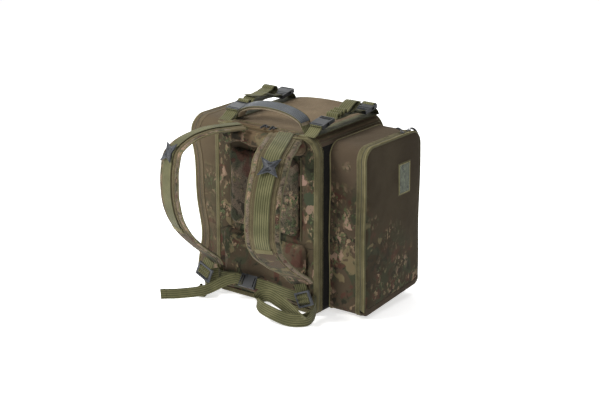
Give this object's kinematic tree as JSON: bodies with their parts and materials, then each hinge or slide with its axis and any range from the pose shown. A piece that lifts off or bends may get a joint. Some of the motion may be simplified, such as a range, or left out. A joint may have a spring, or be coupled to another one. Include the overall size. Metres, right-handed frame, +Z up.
{
  "type": "tackle backpack",
  "caption": "Boxy camouflage fishing rucksack with a zipped harness panel, deep side pockets, padded shoulder straps, top straps and a grab handle.",
  "frame": {"origin": "middle of the main compartment's base, on the floor", "axes": "+Z up, -Y towards the wearer (harness side), +X towards the pocket with the label"},
  "size_m": [0.5919, 0.5968, 0.5622],
  "materials": {
    "plain_fabric": "matte woven polyester",
    "camo_fabric": "matte printed polyester",
    "spacer_mesh": "printed spacer mesh",
    "webbing": "ribbed woven webbing",
    "binding": "woven zip tape and binding",
    "buckle_plastic": "satin moulded plastic",
    "zip_metal": "dark plated metal",
    "zip_cord": "moulded puller",
    "stiffener": "smooth sheet",
    "patch": "woven patch",
    "ribbed_grip": "ribbed grip"
  },
  "bodies": {
    "pack": {"base_panel": "plain_fabric", "top_panel": "plain_fabric", "left_side_panel": "camo_fabric", "right_side_panel": "camo_fabric", "front_panel": "camo_fabric", "rear_zip_tape": "binding", "right_pocket_gusset": "camo_fabric", "left_pocket_gusset": "camo_fabric", "front_pocket_gusset": "camo_fabric", "right_top_strap_base": "webbing", "right_rear_socket": "buckle_plastic", "right_front_socket": "buckle_plastic", "right_top_webbing": "webbing", "left_top_strap_base": "webbing", "left_rear_socket": "buckle_plastic", "left_front_socket": "buckle_plastic", "left_top_webbing": "webbing"},
    "rear_door": {"back_panel": "camo_fabric", "frame_sheet": "stiffener", "centre_mesh_pad": "spacer_mesh", "lumbar_pad": "camo_fabric", "shoulder_yoke": "camo_fabric", "right_lower_webbing": "webbing", "left_lower_webbing": "webbing", "waist_socket": "buckle_plastic", "waist_webbing_left": "webbing", "waist_webbing_right": "webbing"},
    "right_cover": {"right_pocket_cover": "camo_fabric", "label_patch": "patch"},
    "left_cover": {"left_pocket_cover": "camo_fabric"},
    "front_cover": {"front_pocket_cover": "camo_fabric"},
    "handle": {"grab_handle": "camo_fabric", "handle_grip": "ribbed_grip"},
    "waist_plug": {"waist_plug": "buckle_plastic"},
    "right_strap": {"right_strap_pad": "camo_fabric", "right_strap_webbing": "webbing", "right_star_adjuster": "buckle_plastic"},
    "right_lock": {"right_ladder_lock": "buckle_plastic"},
    "right_rear_plug": {"right_rear_plug": "buckle_plastic"},
    "right_front_plug": {"right_front_plug": "buckle_plastic"},
    "left_strap": {"left_strap_pad": "camo_fabric", "left_strap_webbing": "webbing", "left_star_adjuster": "buckle_plastic"},
    "left_lock": {"left_ladder_lock": "buckle_plastic"},
    "left_rear_plug": {"left_rear_plug": "buckle_plastic"},
    "left_front_plug": {"left_front_plug": "buckle_plastic"},
    "rear_zip_right_slider": {"rear_zip_right_slider": "zip_metal"},
    "rear_zip_right_pull": {"rear_zip_right_pull": "zip_metal"},
    "rear_zip_left_slider": {"rear_zip_left_slider": "zip_metal"},
    "rear_zip_left_pull": {"rear_zip_left_pull": "zip_metal"},
    "right_pocket_zip_top_slider": {"right_pocket_zip_top_slider": "zip_metal"},
    "right_pocket_zip_top_pull": {"right_pocket_zip_top_pull": "zip_cord"},
    "right_pocket_zip_far_slider": {"right_pocket_zip_far_slider": "zip_metal"},
    "right_pocket_zip_far_pull": {"right_pocket_zip_far_pull": "zip_cord"},
    "left_pocket_zip_top_slider": {"left_pocket_zip_top_slider": "zip_metal"},
    "left_pocket_zip_top_pull": {"left_pocket_zip_top_pull": "zip_cord"},
    "left_pocket_zip_far_slider": {"left_pocket_zip_far_slider": "zip_metal"},
    "left_pocket_zip_far_pull": {"left_pocket_zip_far_pull": "zip_cord"},
    "front_pocket_zip_slider": {"front_pocket_zip_slider": "zip_metal"},
    "front_pocket_zip_pull": {"front_pocket_zip_pull": "zip_cord"}
  },
  "joints": [
    {"name": "rear_door_hinge", "type": "hinge", "parent": "pack", "child": "rear_door", "pos_m": [0, -0.155, 0.003], "axis": [1, 0, 0], "range_deg": [0, 90]},
    {"name": "right_cover_hinge", "type": "hinge", "parent": "pack", "child": "right_cover", "pos_m": [0.295, 0.027, 0.018], "axis": [0, 1, 0], "range_deg": [0, 90]},
    {"name": "left_cover_hinge", "type": "hinge", "parent": "pack", "child": "left_cover", "pos_m": [-0.295, 0.027, 0.018], "axis": [0, -1, 0], "range_deg": [0, 90]},
    {"name": "front_cover_hinge", "type": "hinge", "parent": "pack", "child": "front_cover", "pos_m": [0, 0.207, 0.036], "axis": [-1, 0, 0], "range_deg": [0, 90]},
    {"name": "handle_fold", "type": "hinge", "parent": "pack", "child": "handle", "pos_m": [0, -0.121, 0.513], "axis": [1, 0, 0], "range_deg": [-30, 30]},
    {"name": "right_strap_swing", "type": "hinge", "parent": "rear_door", "child": "right_strap", "pos_m": [0.158, -0.206, 0.104], "axis": [-0.1563, 0.0248, 0.9874], "range_deg": [-10, 10]},
    {"name": "right_ladder_lock_tilt", "type": "hinge", "parent": "right_strap", "child": "right_lock", "pos_m": [0.165, -0.214, 0.086], "axis": [0.9135, 0, 0.4067], "range_deg": [-25, 5]},
    {"name": "right_rear_plug_release", "type": "slide", "parent": "pack", "child": "right_rear_plug", "axis": [0, 0.9781, 0.2079], "range_m": [0, 0.016]},
    {"name": "right_front_plug_release", "type": "slide", "parent": "pack", "child": "right_front_plug", "axis": [0, -0.9848, -0.1736], "range_m": [0, 0.016]},
    {"name": "left_strap_swing", "type": "hinge", "parent": "rear_door", "child": "left_strap", "pos_m": [-0.158, -0.206, 0.104], "axis": [0.1563, 0.0248, 0.9874], "range_deg": [-10, 10]},
    {"name": "left_ladder_lock_tilt", "type": "hinge", "parent": "left_strap", "child": "left_lock", "pos_m": [-0.165, -0.214, 0.086], "axis": [0.9135, 0, -0.4067], "range_deg": [-25, 5]},
    {"name": "left_rear_plug_release", "type": "slide", "parent": "pack", "child": "left_rear_plug", "axis": [0, 0.9781, 0.2079], "range_m": [0, 0.016]},
    {"name": "left_front_plug_release", "type": "slide", "parent": "pack", "child": "left_front_plug", "axis": [0, -0.9848, -0.1736], "range_m": [0, 0.016]},
    {"name": "waist_plug_release", "type": "slide", "parent": "rear_door", "child": "waist_plug", "axis": [-1, 0, 0], "range_m": [0, 0.016]},
    {"name": "rear_zip_right_travel", "type": "slide", "parent": "pack", "child": "rear_zip_right_slider", "axis": [1, 0, 0], "range_m": [0, 0.08]},
    {"name": "rear_zip_right_pull_hinge", "type": "hinge", "parent": "rear_zip_right_slider", "child": "rear_zip_right_pull", "pos_m": [0.022, -0.145, 0.5053], "axis": [1, 0, 0], "range_deg": [-150, 2]},
    {"name": "rear_zip_left_travel", "type": "slide", "parent": "pack", "child": "rear_zip_left_slider", "axis": [-1, 0, 0], "range_m": [0, 0.08]},
    {"name": "rear_zip_left_pull_hinge", "type": "hinge", "parent": "rear_zip_left_slider", "child": "rear_zip_left_pull", "pos_m": [-0.002, -0.145, 0.5053], "axis": [1, 0, 0], "range_deg": [-150, 2]},
    {"name": "right_pocket_zip_top_travel", "type": "slide", "parent": "pack", "child": "right_pocket_zip_top_slider", "axis": [0, -1, 0], "range_m": [0, 0.13]},
    {"name": "right_pocket_zip_top_pull_hinge", "type": "hinge", "parent": "right_pocket_zip_top_slider", "child": "right_pocket_zip_top_pull", "pos_m": [0.27885, 0.089, 0.4833], "axis": [0, -1, 0], "range_deg": [-150, 2]},
    {"name": "right_pocket_zip_far_travel", "type": "hinge", "parent": "pack", "child": "right_pocket_zip_far_slider", "pos_m": [0.27885, 0.119, 0.44], "axis": [1, 0, 0], "range_deg": [-90, 0]},
    {"name": "right_pocket_zip_far_pull_hinge", "type": "hinge", "parent": "right_pocket_zip_far_slider", "child": "right_pocket_zip_far_pull", "pos_m": [0.27885, 0.119, 0.4833], "axis": [-1, 0, 0], "range_deg": [-150, 2]},
    {"name": "left_pocket_zip_top_travel", "type": "slide", "parent": "pack", "child": "left_pocket_zip_top_slider", "axis": [0, -1, 0], "range_m": [0, 0.13]},
    {"name": "left_pocket_zip_top_pull_hinge", "type": "hinge", "parent": "left_pocket_zip_top_slider", "child": "left_pocket_zip_top_pull", "pos_m": [-0.27885, 0.089, 0.4833], "axis": [0, 1, 0], "range_deg": [-150, 2]},
    {"name": "left_pocket_zip_far_travel", "type": "hinge", "parent": "pack", "child": "left_pocket_zip_far_slider", "pos_m": [-0.27885, 0.119, 0.44], "axis": [1, 0, 0], "range_deg": [-90, 0]},
    {"name": "left_pocket_zip_far_pull_hinge", "type": "hinge", "parent": "left_pocket_zip_far_slider", "child": "left_pocket_zip_far_pull", "pos_m": [-0.27885, 0.119, 0.4833], "axis": [-1, 0, 0], "range_deg": [-150, 2]},
    {"name": "front_pocket_zip_travel", "type": "slide", "parent": "pack", "child": "front_pocket_zip_slider", "axis": [-1, 0, 0], "range_m": [0, 0.12]},
    {"name": "front_pocket_zip_pull_hinge", "type": "hinge", "parent": "front_pocket_zip_slider", "child": "front_pocket_zip_pull", "pos_m": [0.06, 0.19085, 0.3653], "axis": [1, 0, 0], "range_deg": [-150, 2]}
  ]
}
